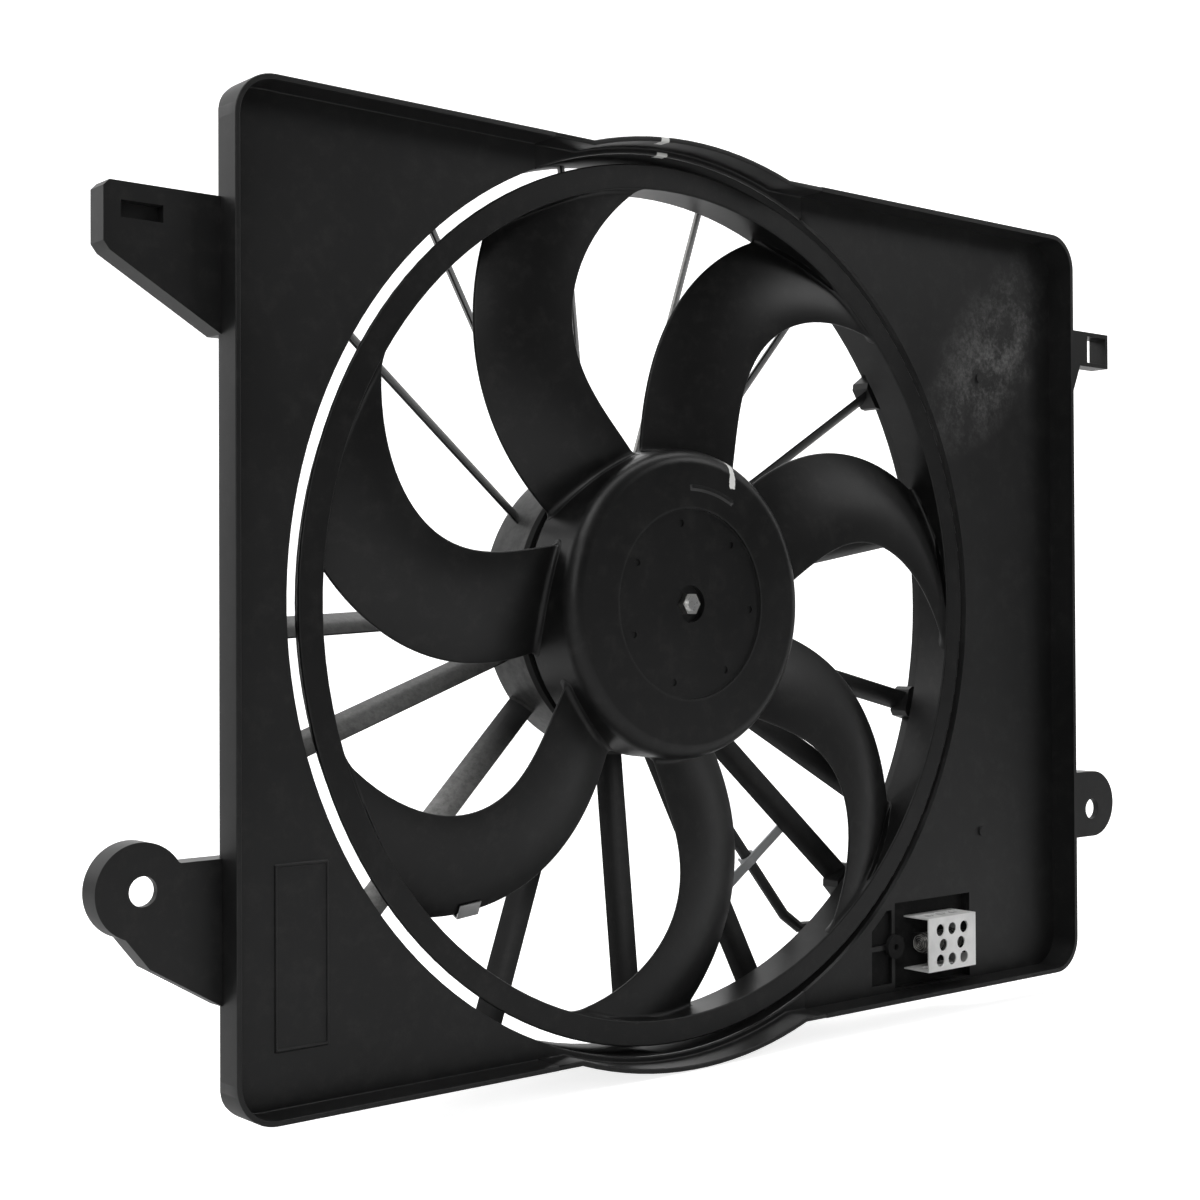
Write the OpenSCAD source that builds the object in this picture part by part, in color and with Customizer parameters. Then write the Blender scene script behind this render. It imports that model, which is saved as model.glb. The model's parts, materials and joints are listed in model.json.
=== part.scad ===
// Radiator cooling fan module: a seven-blade ring fan on an electric motor, held by
// stator vanes in a dished shroud panel, with a series resistor in the air stream.
// Origin: centre of the lower left lug hole, on the face that meets the radiator.
// X runs to the right and Z up as seen from the radiator side, Y runs to the rear.

/* [Panel] */
// Width of the panel
panel_w = 640; // [620:1:700]
// How much lower than the fan hole's width the panel is
panel_short = 13; // [6:0.5:18]
// How far the fan axis lies left of the panel's middle
fan_off_x = 28; // [10:1:34]
// How far the fan axis lies below the panel's middle
fan_off_z = 1.7; // [0:0.1:4]
// Corner radius of the panel
corner_r = 22; // [12:1:30]
// Depth of the rim in front of the plate
rim_depth = 18; // [14:0.5:24]
// Radius of the plate's rear edges on the left and the right
rear_edge_r = 6; // [4:0.5:6.5]
// Wall thickness of the shroud moulding
wall = 2.8; // [2.2:0.1:3.4]
// How far the bulges of the rim stand outside the fan hole
bulge_margin = 6.1; // [6:0.1:9]
// Depth of the barrel behind the plate
barrel_depth = 42.7; // [40:0.1:50]
// Width of the stiffening flange round the barrel's rear edge
barrel_flange = 4.5; // [3:0.5:6]
// Number of gussets between barrel and plate on each side
gussets = 5; // [3:1:6]
// Width of the outlined bare pad
pad_w = 30; // [20:1:36]
// Height of the outlined bare pad
pad_h = 90; // [60:1:100]
// Height of the small raised features on the plate
raised = 1.2; // [0.8:0.1:2]

/* [Fan] */
// Outer radius of the fan's front flange
ring_r = 248.6; // [244:0.1:250]
// Running gap between the flange and the shroud hole
tip_gap = 5.9; // [4:0.1:7]
// Width of the band's front flange
flange_w = 14; // [10:0.5:18]
// Depth of the band
band_depth = 23; // [21:0.5:24]
// Thickness of the band
band_t = 2.8; // [2.4:0.1:3.5]
// Radius of the edges of the band's flange
band_edge_r = 1; // [0.5:0.1:1.1]
// Radius of the hub
hub_r = 88; // [84:0.5:92]
// Depth of the hub
hub_depth = 38.5; // [38:0.5:41]
// How far the hub's face lies behind the rim's front edge
hub_set_back = 5.5; // [4:0.5:7]
// Radius of the hub's front edge
hub_edge_r = 9; // [5:0.5:12]
// Wall thickness of the hub
hub_wall = 3; // [2.4:0.1:3.6]
// Radius of the sunk disc in the hub's face
disc_r = 54; // [50:0.5:60]
// Depth of the sunk disc
disc_sunk = 1.4; // [0.6:0.1:1.8]
// Radius of the circle of dimples
dimple_pcr = 46; // [40:0.5:48]
// Radius of a dimple
dimple_r = 2.1; // [1.5:0.1:2.6]
// Radius of the recess for the nut
nut_recess_r = 10.5; // [9:0.1:12]

/* [Blades] */
// Leading edge angle at the hub, degrees
lead_root = -17.2; // [-20:0.1:-14]
// Leading edge angle at mid span, degrees
lead_mid = -26.8; // [-29:0.1:-24]
// Leading edge angle at the band, degrees
lead_tip = -6.6; // [-9:0.1:-4]
// Trailing edge angle at the hub, degrees
trail_root = -56; // [-58:0.1:-52]
// Trailing edge angle at mid span, degrees
trail_mid = -48.4; // [-50:0.1:-46]
// Trailing edge angle at the band, degrees
trail_tip = -31.2; // [-33:0.1:-29]
// Axial rise of a blade from leading to trailing edge at the hub
rise_root = 17.5; // [14:0.5:19]
// Axial rise of a blade at mid span
rise_mid = 16.5; // [14:0.5:19]
// Axial rise of a blade at the band
rise_tip = 17.5; // [14:0.5:18]
// Height of the blade's camber
camber = 4; // [2:0.5:5]
// Thickness at the middle of the blade's section
blade_t = 3.2; // [2.6:0.1:4]
// Thickness of the blade's edges
blade_edge_t = 1.7; // [1.2:0.1:2]

/* [Vanes] */
// Clock angles of the stator vanes, seen from the front
vane_angles = [13, 37, 56, 79, 105, 122, 135, 158, 181, 205, 229, 252, 267, 306, 325, 348];
// Clock angles of the vanes whose outer ends have a foot
foot_angles = [56, 105, 135];
// Chord of a vane
vane_chord = 16; // [13:0.5:18]
// Thickness of a vane
vane_t = 4.2; // [3.4:0.1:5]
// Stagger of the vanes from the fan axis, degrees
vane_stagger = 40; // [34:1:44]
// How far the vanes' inner ends lie behind their outer ends
vane_rake = 22; // [18:0.5:26]
// Width of such a foot
foot_w = 20; // [16:0.5:22]
// Height of such a foot
foot_h = 13; // [10:0.5:16]
// Depth of such a foot along the fan axis
foot_d = 13; // [11:0.5:15]

/* [Motor] */
// Outer radius of the ring that carries the motor
carrier_r = 86; // [80:0.5:86]
// Depth of that ring
carrier_depth = 36; // [34:0.5:40]
// Gap between the hub's rear edge and the carrier ring
carrier_gap = 8; // [6:0.5:10]
// Outer radius of the motor can
can_r = 58; // [55:0.5:60]
// Length of the motor can
can_len = 58; // [56:0.5:60]
// Wall thickness of the motor can
can_wall = 2; // [1.6:0.1:2.4]
// Radius of the shaft
shaft_r = 4; // [3.5:0.1:5]
// Running clearance between shaft and bushes
shaft_fit = 0.04; // [0.02:0.01:0.08]
// Radial thickness of the magnets
magnet_t = 8; // [6:0.5:9]
// Air gap between magnets and armature
air_gap = 1; // [0.8:0.1:1.5]
// Radius of the commutator
commutator_r = 14; // [12:0.5:15]
// Radius of the circle of motor screws
screw_pcr = 71; // [70:0.5:72]
// Radius of the motor screws
screw_r = 3; // [2.5:0.1:3]

/* [Lugs and brackets] */
// Radius of the holes in the two lower lugs
lug_hole_r = 7; // [6:0.1:8]
// Radius of the rounded lugs
lug_r = 22.5; // [20:0.5:24]
// Thickness of the lug plates
lug_plate = 4; // [3:0.5:6]
// Depth of the lugs and brackets
lug_depth = 13.5; // [11:0.5:14]
// How far the lugs' seating face lies behind the rim's front edge
lug_set_back = 14; // [12:0.5:15]
// Distance of the left hole outside the panel
left_lug_out = 40; // [36:0.5:46]
// Distance of the left hole above the panel's bottom edge
left_lug_up = 114.5; // [108:0.1:120]
// Distance of the right hole outside the panel
right_lug_out = 36.6; // [32:0.1:42]
// Distance of the right hole above the panel's bottom edge
right_lug_up = 104.8; // [100:0.1:112]
// Reach of the brackets outside the panel
bracket_out = 59; // [54:0.5:64]
// Distance of the brackets' top edge below the panel's top edge
bracket_down = 58.7; // [54:0.1:64]
// Height of the left bracket's outer end
bracket_end_h = 31; // [26:0.5:34]
// Height of the left bracket at the panel
bracket_root_h = 65; // [56:0.5:68]
// Width of the sockets in the brackets
socket_w = 21; // [16:0.5:23]
// Height of the left bracket's socket
socket_h = 8; // [6:0.5:12]
// Depth of the left bracket's socket
socket_d = 6; // [4:0.5:7]
// Height of the right bracket's square loop
loop_h = 24; // [20:0.5:28]

/* [Resistor] */
// Gap between the fan hole and the window's upper left corner
window_gap = 11.5; // [9:0.5:13]
// Width of the resistor window
window_w = 73; // [70:1:74]
// Height of the resistor window
window_h = 54; // [50:1:55]
// Bottom edge of the window above the panel's bottom edge
window_lift = 4.3; // [4:0.1:6]
// Width of the open slot left of the window
slot_w = 18.5; // [14:0.5:20]
// Height of the open slot
slot_h = 46; // [40:0.5:50]
// Width of the perforated cage
cage_w = 46; // [42:0.5:48]
// Height of the perforated cage
cage_h = 34; // [31:0.5:36]
// How far the cage's face lies behind the rim's front edge
cage_set_back = 4; // [3:0.5:8]
// Thickness of the cage's sheet
cage_t = 1; // [0.8:0.1:1.2]
// Radius of the holes in the cage
cage_hole_r = 3.8; // [2.6:0.1:4]
// Distance between the rows of holes in the cage
cage_row = 9.6; // [8.6:0.1:10]
// Radius of the carrier's ear left of the window
ear_r = 7.5; // [6:0.1:8]
// Radius of the wound resistor
coil_r = 6.5; // [5:0.5:7.5]

/* [Lead] */
// Outer radius of the sleeved motor lead
lead_r = 3.6; // [3:0.1:4]

/* [Hidden] */
$fn = 96;

// Clearances
eps = 0.01;
seat = 0.1;
moulded = 0.15;
slack = 0.5;

// Panel, measured from the fan axis and the rim's front edge
hole_r = ring_r + tip_gap;
bulge_r = hole_r + bulge_margin;
panel_h = 2 * hole_r - panel_short;
mid_x = fan_off_x;
mid_z = fan_off_z;
left_x = mid_x - panel_w / 2;
right_x = mid_x + panel_w / 2;
top_z = mid_z + panel_h / 2;
bottom_z = mid_z - panel_h / 2;
plate_y = rim_depth;
plate_back = plate_y + wall;
barrel_back = plate_back + barrel_depth;
arc_x = 0.4 * hole_r;

// Fan, front to rear
blades = 7;
blade_pitch = 360 / blades;
band_r = ring_r - flange_w;
band_y = plate_y - 1;
hub_y = hub_set_back;
hub_back = hub_y + hub_depth;
lead_root_y = hub_back - rise_root - 1;
lead_mid_y = band_y + 4;
lead_tip_y = band_y + 2;
blade_root_r = hub_r + moulded;
blade_tip_r = band_r - moulded;
nut_y = hub_y + 0.6;
nut_t = 4;
nut_r = 6.5;
boss_r = 15;
boss_y = nut_y + nut_t;
boss_back = boss_y + 16;

// Vanes
carrier_y = hub_back + carrier_gap;
carrier_back = carrier_y + carrier_depth;
vane_out_y = barrel_back - foot_d / 2;
vane_in_y = vane_out_y + vane_rake;
vane_span = hole_r - carrier_r;
vane_lean = atan(vane_rake / vane_span);

// Motor, front to rear
can_y = boss_back + 3;
can_back = can_y + can_len;
can_in = can_r - can_wall;
bush_r = 9;
bush_len = 10;
end_t = 2.5;
magnet_r = can_in - magnet_t;
core_r = magnet_r - air_gap;
core_y = can_y + can_wall + 10;
core_len = 26;
core_back = core_y + core_len;
winding_h = 7;
commutator_y = core_back + winding_h + 0.5;
commutator_back = can_back - 3;
bearing_y = can_back + end_t + 5;
shaft_y = nut_y - 1.5;
ear_t = 3;
ear_w = 18;
shelf_t = 4;
shelf_y = carrier_y + 18;
ear_y = shelf_y - ear_t - seat;
head_r = 5.5;
head_h = 4;
screw_angles = [60, 180, 300];

// Resistor, measured from the fan axis
slot_bar = 3;
window_bottom = bottom_z + window_lift;
window_top = window_bottom + window_h;
window_x = sqrt(hole_r * hole_r - window_top * window_top) + window_gap;
base_x = window_x - slot_bar - slot_w - 4;
base_w = window_x + window_w + 13 - base_x;
base_h = window_h + 4;
base_t = 2.5;
base_y = plate_back + seat;
housing_x = window_x + 11;
housing_w = window_w - 16;
housing_h = 40;
housing_d = 14;
pocket_d = 3.8;
floor_y = base_y + pocket_d;
cage_y = cage_set_back;
cage_d = floor_y - cage_y - seat;
cage_x = window_x + 16;
window_mid_z = (window_bottom + window_top) / 2;
cage_mid_z = window_mid_z;
cage_top = cage_mid_z + cage_h / 2;
coil_x = cage_x + 3;
coil_y = cage_y + cage_d / 2;
coil_len = cage_w - 8;
tap_r = 2;
tap_x = window_x + window_w + 7;
tap_rows = [window_mid_z - 18, window_mid_z + 18];

// Lugs and brackets, and how far they reach in behind the plate
inward = 12;
left_lug_down = -bottom_z - left_lug_up;
right_lug_down = -bottom_z - right_lug_up;
bracket_top = top_z - bracket_down;

// Lead and its clip, which sits on the rear edge of the vane beside the lead
lead_at = 145;
exit_r = 41;
clip_vane = 135;
clip_r = 195;
clip_t = 2;
vane_half_d = vane_chord / 2 * cos(vane_stagger) + 0.4;
beside_vane = vane_half_d + seat + clip_t + seat + lead_r;
housing_back = floor_y + base_t + housing_d;
lead_end_x = window_x + 20;

// The lead's route, from the motor's rear plate past the vanes to the resistor
lead_path = [
    on_clock(lead_at, exit_r, can_back - 1),
    on_clock(lead_at, exit_r, can_back + 8),
    on_clock(lead_at, exit_r + 2, can_back + 14),
    on_clock(lead_at, exit_r + 9, can_back + 19),
    on_clock(lead_at, exit_r + 22, can_back + 20),
    on_clock(lead_at, exit_r + 38, can_back + 18),
    on_clock(lead_at, exit_r + 54, can_back + 13),
    on_clock(lead_at, 112, vane_y(112) + beside_vane + 4),
    on_clock(lead_at, 130, vane_y(130) + beside_vane + 1),
    on_clock(lead_at, 150, vane_y(150) + beside_vane),
    on_clock(lead_at, 170, vane_y(170) + beside_vane),
    on_clock(lead_at, clip_r, vane_y(clip_r) + beside_vane),
    on_clock(lead_at, 220, vane_y(220) + beside_vane),
    on_clock(lead_at, 240, vane_y(240) + beside_vane),
    on_clock(lead_at - 1, 254, vane_y(254) + beside_vane),
    on_clock(lead_at - 4, 266, barrel_back + 6),
    on_clock(lead_at - 7, 277, barrel_back + 3),
    [lead_end_x - 18, barrel_back - 4, window_mid_z - 3],
    [lead_end_x - 7, barrel_back - 10, window_mid_z - 1],
    [lead_end_x, barrel_back - 17, window_mid_z],
    [lead_end_x, housing_back + seat, window_mid_z]];

// Moves from the frame of the fan axis to the part's origin
module at_axis() {
    translate([left_lug_out - left_x, -lug_set_back, left_lug_down]) children();
}

// A flat outline, drawn as seen from the front, between two depths
module slab(front, back) {
    translate([0, back, 0]) rotate([90, 0, 0]) linear_extrude(back - front) children();
}

// A profile of radius and depth turned round the fan axis
module turned() {
    rotate([-90, 0, 0]) rotate_extrude($fn = 180) children();
}

// Puts something at a clock angle, its own Z outwards and its own X clockwise
module at_clock(angle, r = 0) {
    rotate([0, angle, 0]) translate([0, 0, r]) children();
}

module tube(r_out, r_in, front, back) {
    slab(front, back) difference() {
        circle(r_out);
        circle(r_in);
    }
}

module rounded(w, h, r) {
    square([w - 2 * r, h], center = true);
    square([w, h - 2 * r], center = true);
    for (x = [-1, 1], y = [-1, 1])
        translate([x * (w / 2 - r), y * (h / 2 - r)]) circle(r);
}

function between(a, b, t) = a + (b - a) * t;

// A smooth curve through a root, a middle and a tip value
function span_curve(root, mid, tip, t) =
    root * (1 - t) * (1 - 2 * t) + 4 * mid * t * (1 - t) + tip * t * (2 * t - 1);

function on_clock(angle, r, y) = [r * sin(angle), y, r * cos(angle)];

// Depth of the vanes' centre line at a radius
function vane_y(r) = vane_in_y - vane_rake * (r - carrier_r) / vane_span;

// Shroud
module panel_outline(inset = 0) {
    translate([mid_x, mid_z]) rounded(panel_w - 2 * inset, panel_h - 2 * inset, corner_r - inset);
    circle(bulge_r - inset, $fn = 180);
}

// The tray's outer form, its rear edges on the left and the right rounded by flat cuts
module tray_form(front) {
    difference() {
        slab(front, plate_back) panel_outline();
        for (side = [-1, 1], a = [22.5, 45, 67.5])
            translate([mid_x + side * (panel_w / 2 - rear_edge_r), plate_back - rear_edge_r, mid_z])
                rotate([0, 0, side > 0 ? a : 180 - a])
                    translate([rear_edge_r, -panel_h, -panel_h])
                        cube([panel_h, 2 * panel_h, 2 * panel_h]);
    }
}

module tray() {
    difference() {
        tray_form(0);
        slab(-1, plate_y) panel_outline(wall);
        slab(-1, plate_back + 1) circle(hole_r, $fn = 180);
        slab(-1, plate_back + 1) window();
        for (z = tap_rows) slab(plate_y + 0.6, plate_back + 1) translate([tap_x, z]) circle(tap_r);
    }
}

// The shroud is one moulding, given as simpler pieces that meet face to face
module tray_share(from, to, low, high) {
    intersection() {
        tray();
        slab(-1, plate_back + 1) translate([from, low]) square([to - from, high - low]);
    }
}

module panel_left() {
    color("#1b1c1e") at_axis() {
        tray_share(left_x - 1, -arc_x, -panel_h, panel_h);
        pad_outline();
    }
}

module panel_right() {
    color("#1b1c1e") at_axis() {
        tray_share(arc_x, right_x + 1, -panel_h, panel_h);
        back_ribs();
        plate_nubs();
    }
}

module panel_arcs() {
    color("#1b1c1e") at_axis() {
        tray_share(-arc_x, arc_x, 0, panel_h);
        tray_share(-arc_x, arc_x, -panel_h, 0);
    }
}

// The ring behind the fan hole, with a stiffening flange round its rear edge
module barrel() {
    color("#1b1c1e") at_axis() {
        turned() {
            translate([hole_r, plate_back]) square([wall, barrel_depth]);
            translate([hole_r, barrel_back - wall]) square([barrel_flange, wall]);
        }
        barrel_gussets();
    }
}

// Triangular gussets stand behind the plate, clear of the top and the bottom
module barrel_gussets() {
    for (side = [90, 270], i = [0 : gussets - 1])
        at_clock(side - 40 + 80 * i / (gussets - 1), hole_r + wall - 1)
            rotate([90, 0, 90]) linear_extrude(wall, center = true)
                polygon([[plate_back + seat, 0], [barrel_back - 12, 0], [plate_back + seat, 16]]);
}

// Straight ribs on the rear face of the wide right side
module back_ribs() {
    for (z = [-90, 0, 90])
        slab(plate_back - eps, plate_back + 8)
            translate([hole_r + 22, z])
                square([right_x - rear_edge_r - hole_r - 24, wall]);
}

// The resistor window, and left of it a slot with a thin bar across
module window() {
    translate([window_x, window_bottom]) square([window_w, window_h]);
    difference() {
        for (low = [-slot_h / 2, slot_bar / 2])
            translate([window_x - slot_bar - slot_w, window_mid_z + low])
                square([slot_w, (slot_h - slot_bar) / 2]);
        circle(hole_r + 2 * wall);
    }
}

module pad_outline() {
    pad_x = left_x + 30;
    pad_top = -126;
    slab(plate_y - raised, plate_y + eps) difference() {
        translate([pad_x, pad_top - pad_h]) square([pad_w, pad_h]);
        translate([pad_x + raised, pad_top - pad_h + raised])
            square([pad_w - 2 * raised, pad_h - 2 * raised]);
    }
}

module plate_nubs() {
    for (z = [-149, 150])
        slab(plate_y - raised, plate_y + eps) translate([right_x - 79, z]) circle(3);
}

// The lugs and brackets are trays, open to the rear, that reach in behind the plate
module left_lug_outline() {
    x = left_x - left_lug_out;
    z = -left_lug_down;
    translate([x - 1, z]) circle(lug_r);
    polygon([[left_x + inward, z + 11.8], [x + 19, z + 11.5], [x + 10, z + 16], [x - 10, z - 19.5],
             [x + 3.2, z - 35.8], [left_x + 1, z - 58], [left_x + inward, z - 58]]);
}

module right_lug_outline() {
    rise = 3.5;
    z = -right_lug_down + rise;
    translate([right_x + right_lug_out + 2, z]) circle(lug_r);
    translate([right_x - inward, z - lug_r]) square([right_lug_out + inward + 2, 2 * lug_r]);
}

module left_bracket_outline() {
    low = bracket_top - bracket_root_h;
    polygon([[left_x + inward, bracket_top], [left_x - bracket_out + 3, bracket_top],
             [left_x - bracket_out, bracket_top - 3],
             [left_x - bracket_out, bracket_top - bracket_end_h + 3],
             [left_x - bracket_out + 3, bracket_top - bracket_end_h - 1],
             [left_x, low], [left_x + inward, low]]);
}

module right_bracket_outline() {
    low = bracket_top - loop_h;
    polygon([[right_x - inward, bracket_top + 14], [right_x + 5, bracket_top + 14],
             [right_x + 9, bracket_top], [right_x + bracket_out, bracket_top],
             [right_x + bracket_out, low], [right_x + bracket_out - socket_w - 11, low],
             [right_x + 18, low - 21], [right_x, low - 25], [right_x - inward, low - 25]]);
}

// A tray of one of the outlines: its face in front, its walls to the rear
module flanged(face) {
    slab(face, face + lug_plate) children();
    slab(face, face + lug_depth) difference() {
        children();
        offset(delta = -wall) children();
    }
}

module left_socket() {
    translate([left_x - bracket_out + 8.5, bracket_top - 8.5 - socket_h])
        square([socket_w, socket_h]);
}

// A lug: a tray with a bolt hole, cut to meet the panel's side and rear
module lug(x, z) {
    color("#1b1c1e") at_axis() difference() {
        flanged(lug_set_back) children();
        slab(lug_set_back - 1, lug_set_back + lug_depth) translate([x, z]) circle(lug_hole_r);
        tray_form(-1);
    }
}

module lug_left() {
    lug(left_x - left_lug_out, -left_lug_down) left_lug_outline();
}

module lug_right() {
    lug(right_x + right_lug_out, -right_lug_down) right_lug_outline();
}

module bracket_left() {
    face = lug_set_back;
    color("#1b1c1e") at_axis() difference() {
        union() {
            flanged(face) left_bracket_outline();
            slab(face, face + socket_d + 2) offset(delta = 2) left_socket();
        }
        slab(face - 1, face + socket_d) left_socket();
        tray_form(-1);
    }
}

module bracket_right() {
    face = lug_set_back;
    box_w = socket_w + 5;
    color("#1b1c1e") at_axis() difference() {
        union() {
            flanged(face) right_bracket_outline();
            slab(face, face + lug_depth)
                translate([right_x + bracket_out - box_w, bracket_top - loop_h])
                    square([box_w, loop_h]);
        }
        slab(face - 1, face + lug_depth + 1)
            translate([right_x + bracket_out - wall - socket_w, bracket_top - loop_h + wall])
                square([socket_w, loop_h - 2 * wall]);
        tray_form(-1);
    }
}

// Stator vanes, each a lens-shaped blade from the motor carrier out to the barrel
function lens_side(side) =
    [for (i = [0 : 6]) let (s = side > 0 ? i / 6 : 1 - i / 6)
        [side * (0.5 + (vane_t / 2 - 0.5) * sin(180 * s)), vane_chord * (s - 0.5)]];

module vane() {
    translate([0, vane_in_y, carrier_r - 1]) rotate([vane_lean, 0, 0])
        linear_extrude((vane_span + 2) / cos(vane_lean)) rotate(-vane_stagger)
            polygon(concat(lens_side(1), lens_side(-1)));
}

module vane_foot() {
    translate([-foot_w / 2, barrel_back - foot_d, hole_r - foot_h])
        difference() {
            cube([foot_w, foot_d, foot_h + 1]);
            for (x = [0, foot_w])
                translate([x, foot_d / 2, 0]) rotate([0, 45, 0])
                    cube([4, foot_d + 1, 4], center = true);
        }
}

module stator_vanes() {
    color("#2a2b2e") at_axis() intersection() {
        union() {
            for (a = vane_angles) at_clock(a) vane();
            for (a = foot_angles) at_clock(a) vane_foot();
        }
        tube(hole_r - seat, carrier_r + seat, plate_back, carrier_back + 20, $fn = 180);
    }
}

// Motor carrier: the ring at the vanes' inner ends, with a shelf that the motor bolts to
module motor_carrier() {
    color("#232427") at_axis() difference() {
        union() {
            tube(carrier_r, carrier_r - wall, carrier_y, carrier_back);
            tube(carrier_r - eps, can_r + slack * 2, shelf_y, shelf_y + shelf_t);
            for (a = screw_angles) at_clock(a, screw_pcr) slab(shelf_y, shelf_y + 12) circle(6.5);
            for (a = [0 : 30 : 330]) at_clock(a, can_r + 3)
                translate([-wall / 2, shelf_y + shelf_t - eps, 0])
                    cube([wall, 8, carrier_r - can_r - 4]);
        }
        for (a = screw_angles) at_clock(a, screw_pcr)
            slab(shelf_y - 1, shelf_y + 13) circle(screw_r + seat);
    }
}

module motor_ears() {
    for (a = screw_angles) at_clock(a) difference() {
        union() {
            translate([-ear_w / 2, ear_y, 0]) cube([ear_w, ear_t, screw_pcr]);
            translate([0, 0, screw_pcr]) slab(ear_y, ear_y + ear_t) circle(ear_w / 2);
        }
        translate([0, 0, screw_pcr]) slab(ear_y - 1, ear_y + ear_t + 1) circle(screw_r + seat);
    }
}

// Motor can: a drawn cup, closed at the front, with a pocket for the front bush
module motor_can() {
    color("#8d9196") at_axis() difference() {
        union() {
            turned() difference() {
                union() {
                    translate([0, can_y + 5]) square([can_r, can_len - 5]);
                    translate([0, can_y]) square([can_r - 5, can_len]);
                    translate([can_r - 5, can_y + 5]) circle(5, $fn = 48);
                    translate([0, can_y - 2]) square([bush_r + can_wall, 11]);
                }
                translate([-1, can_y + can_wall]) square([can_in + 1 - 4, can_len]);
                translate([-1, can_y + can_wall + 4]) square([can_in + 1, can_len]);
                translate([can_in - 4, can_y + can_wall + 4]) circle(4, $fn = 48);
                translate([-1, can_y - 3]) square([shaft_r + 1 + slack, 10]);
                translate([-1, can_y]) square([bush_r + seat + 1, 10]);
            }
            difference() {
                motor_ears();
                slab(ear_y - 1, ear_y + ear_t + 1) circle(can_r - can_wall / 2);
            }
        }
    }
}

module motor_end_plate() {
    color("#9a9ea3") at_axis() difference() {
        turned() difference() {
            union() {
                translate([0, can_back + eps]) square([can_r, end_t]);
                translate([0, can_back + eps]) square([bush_r + 3, end_t + 11]);
            }
            translate([-1, can_back - 1]) square([shaft_r + 1 + slack, 6]);
            translate([-1, can_back - 1]) square([bush_r + seat + 1, bush_len + 3]);
        }
        at_clock(lead_at, exit_r) slab(can_back - 1, can_back + 9) circle(6);
    }
}

module motor_magnets() {
    color("#3b3b40") at_axis() difference() {
        tube(can_in - seat, magnet_r, core_y - 2, core_back + 2);
        for (a = [45 : 90 : 315]) at_clock(a)
            translate([-5, core_y - 3, 0]) cube([10, core_len + 6, can_r]);
    }
}

module bush(front) {
    tube(bush_r, shaft_r + shaft_fit, front, front + bush_len);
}

module front_bush() {
    color("#a9793a") at_axis() bush(can_y + seat);
}

module rear_bush() {
    color("#a9793a") at_axis() bush(can_back + 1.5);
}

// Brush gear on the motor's rear plate
module brush_card() {
    color("#4a3020") at_axis() difference() {
        union() {
            tube(can_in - seat, commutator_r + 6, can_back - 3, can_back - 0.5);
            for (a = [0 : 90 : 270]) at_clock(a, commutator_r + 6)
                translate([-6.5, can_back - 11, 0]) cube([13, 9, 18]);
        }
        for (a = [0 : 90 : 270]) at_clock(a, commutator_r)
            translate([-5 - seat, can_back - 10 - seat, 0])
                cube([10 + 2 * seat, 6 + 2 * seat, 21.2]);
        at_clock(lead_at, exit_r) slab(can_back - 12, can_back) circle(6);
    }
}

module brushes() {
    color("#2d2d2f") at_axis() for (a = [0 : 90 : 270]) at_clock(a, commutator_r + 0.3)
        translate([-5, can_back - 10, 0]) cube([10, 6, 15]);
}

// Each spring is a rolled strip behind its brush
module brush_springs() {
    color("#b7bbc0") at_axis() for (a = [0 : 90 : 270]) at_clock(a, commutator_r + 18.25)
        translate([-4, can_back - 7, 0]) rotate([0, 90, 0]) difference() {
            cylinder(r = 2.8, h = 8, $fn = 48);
            translate([0, 0, -1]) cylinder(r = 1.8, h = 10, $fn = 48);
        }
}

module motor_screws() {
    color("#c3c6ca") at_axis() for (a = screw_angles) at_clock(a, screw_pcr) {
        slab(ear_y - head_h, ear_y - seat) difference() {
            circle(head_r, $fn = 48);
            circle(2.4, $fn = 6);
        }
        slab(ear_y - seat - eps, shelf_y + 12) circle(screw_r, $fn = 48);
    }
}

module lead_grommet() {
    color("#141414") at_axis() at_clock(lead_at, exit_r) {
        tube(6 - seat, lead_r + seat, can_back - 0.4, can_back + end_t + 3);
        tube(8, lead_r + seat, can_back + end_t + seat, can_back + end_t + 3);
    }
}

// A tube swept along a list of points, as rings joined by side faces
function unit(v) = v / norm(v);

function path_way(p, i) =
    unit(p[min(i + 1, len(p) - 1)] - p[max(i - 1, 0)]);

function ring_points(p, i, r, n) =
    let (w = path_way(p, i), u = unit(cross(w, [1, 0, 0.3])), v = cross(w, u))
    [for (k = [0 : n - 1]) p[i] + r * (cos(360 * k / n) * u + sin(360 * k / n) * v)];

module swept_tube(p, r, n) {
    rows = len(p);
    points = [for (i = [0 : rows - 1]) each ring_points(p, i, r, n)];
    sides = [for (i = [0 : rows - 2], k = [0 : n - 1])
        [i * n + k, i * n + (k + 1) % n, (i + 1) * n + (k + 1) % n, (i + 1) * n + k]];
    first = [[for (k = [0 : n - 1]) n - 1 - k]];
    last = [[for (k = [0 : n - 1]) (rows - 1) * n + k]];
    polyhedron(points, concat(sides, first, last), convexity = 8);
}

module motor_lead() {
    color("#161616") at_axis() swept_tube(lead_path, lead_r, 10);
}

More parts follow.
